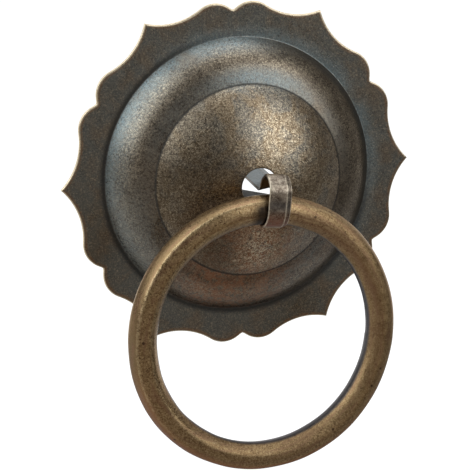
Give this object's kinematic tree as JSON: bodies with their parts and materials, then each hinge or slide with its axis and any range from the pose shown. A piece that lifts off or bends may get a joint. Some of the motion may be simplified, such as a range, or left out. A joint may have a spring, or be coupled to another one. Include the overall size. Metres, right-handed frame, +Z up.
{
  "type": "ring pull handle",
  "caption": "Ring pull on a scalloped, domed sheet-metal rosette: a round bar ring hangs in a bent strip strap whose two legs pass back through the plate's hole.",
  "frame": {"origin": "centre of the rosette's mounting face, on the axis of its hole", "axes": "-Y out of the door or drawer front, +Y into it, +Z up, +X to the right as seen from the front"},
  "size_m": [0.0946, 0.0645, 0.1168],
  "materials": {
    "rosette_metal": "dark antique brass, satin, speckled with worn golden grains, bright on the edge",
    "ring_metal": "aged golden brass, half polished by the hand, with small pits and scratches",
    "strap_metal": "aged brass strip, greyish brown, with bright worn edges"
  },
  "bodies": {
    "mounting": {"backplate": "rosette_metal", "strap": "strap_metal"},
    "pull_ring": {"ring": "ring_metal"}
  },
  "joints": [
    {"name": "ring_swing", "type": "hinge", "parent": "mounting", "child": "pull_ring", "pos_m": [0, -0.02958, -0.00325], "axis": [-1, 0, 0], "range_deg": [-23, 203]}
  ]
}
